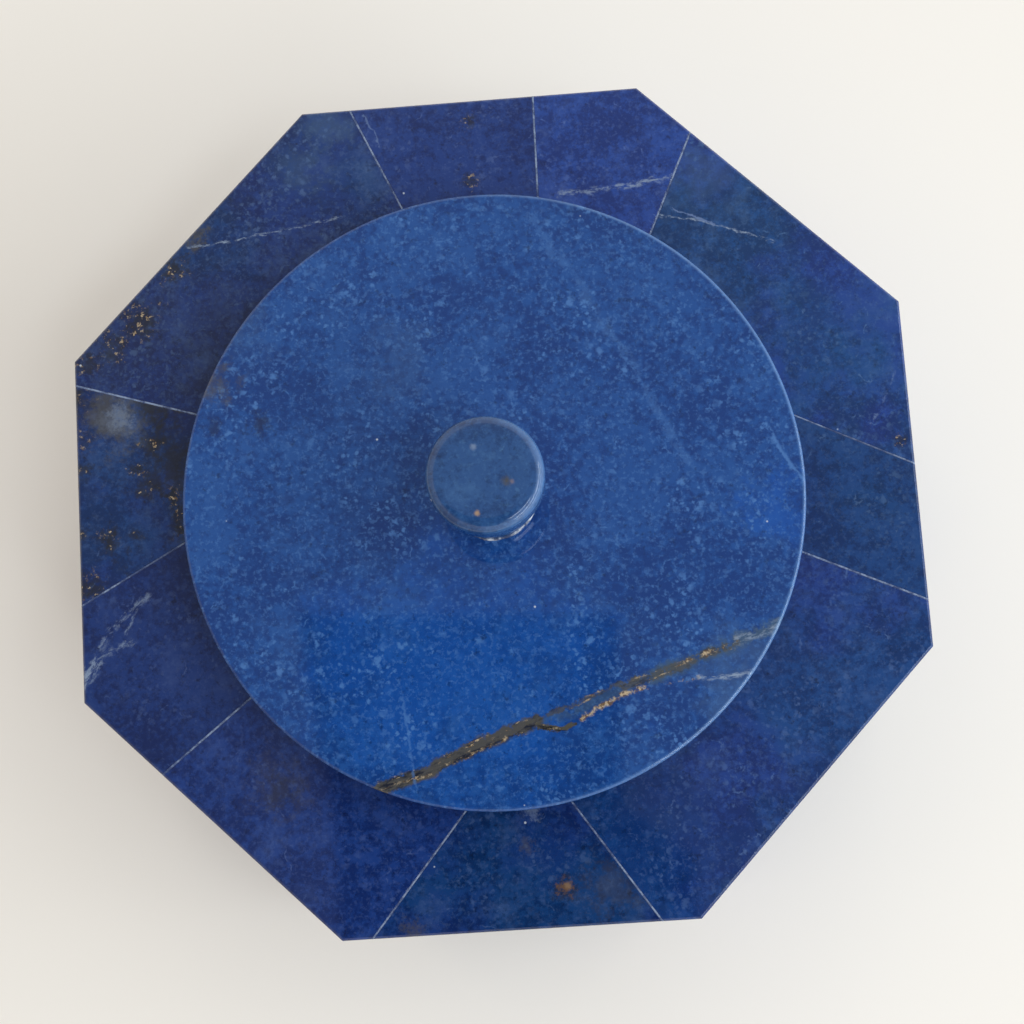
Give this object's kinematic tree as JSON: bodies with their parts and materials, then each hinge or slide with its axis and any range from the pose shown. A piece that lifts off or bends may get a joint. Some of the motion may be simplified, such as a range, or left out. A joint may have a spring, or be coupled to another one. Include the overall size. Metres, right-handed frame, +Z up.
{
  "type": "lidded box",
  "caption": "Octagonal wooden box veneered all over in polished lapis slabs, with a round lift-off stone lid and a turned knob.",
  "frame": {"origin": "centre of the underside, on the surface the box rests on", "axes": "+Z up through the lid and knob; +X and -X through the middles of two opposite flats of the octagon; +Y away from the viewer of the picture"},
  "size_m": [0.116, 0.116, 0.07],
  "materials": {
    "lapis_navy": "polished",
    "lapis_violet": "polished",
    "lapis_teal": "polished",
    "lapis_mid": "polished",
    "white_cement": "matte",
    "carcass_wood": "satin",
    "green_felt": "matte",
    "brass_pin": "satin"
  },
  "bodies": {
    "box": {"base_felt": "green_felt", "floor_board": "carcass_wood", "top_board": "carcass_wood", "wall_stave_1": "carcass_wood", "wall_stave_2": "carcass_wood", "wall_stave_3": "carcass_wood", "wall_stave_4": "carcass_wood", "wall_stave_5": "carcass_wood", "wall_stave_6": "carcass_wood", "wall_stave_7": "carcass_wood", "wall_stave_8": "carcass_wood", "side_slab_1_left": "lapis_navy", "side_slab_1_right": "lapis_navy", "side_slab_2_left": "lapis_violet", "side_slab_2_right": "lapis_violet", "side_slab_3_left": "lapis_teal", "side_slab_3_right": "lapis_navy", "side_slab_4_left": "lapis_navy", "side_slab_4_right": "lapis_teal", "side_slab_5_left": "lapis_violet", "side_slab_5_right": "lapis_violet", "side_slab_6_left": "lapis_navy", "side_slab_6_right": "lapis_navy", "side_slab_7_left": "lapis_teal", "side_slab_7_right": "lapis_violet", "side_slab_8_left": "lapis_violet", "side_slab_8_right": "lapis_teal", "top_slab_01": "lapis_teal", "top_slab_02": "lapis_violet", "top_slab_03": "lapis_violet", "top_slab_04": "lapis_navy", "top_slab_05": "lapis_navy", "top_slab_06": "lapis_violet", "top_slab_07": "lapis_violet", "top_slab_08": "lapis_teal", "top_slab_09": "lapis_navy", "top_slab_10": "lapis_teal", "face_seam_cement": "white_cement", "corner_seam_cement": "white_cement", "top_seam_cement": "white_cement"},
    "lid": {"lid_disc": "lapis_mid", "lid_plug": "carcass_wood", "lid_knob": "lapis_mid", "knob_pin": "brass_pin", "knob_cement": "white_cement"}
  },
  "joints": [
    {"name": "lid_lift", "type": "slide", "parent": "box", "child": "lid", "axis": [0, 0, 1], "range_m": [0, 0.09]}
  ]
}
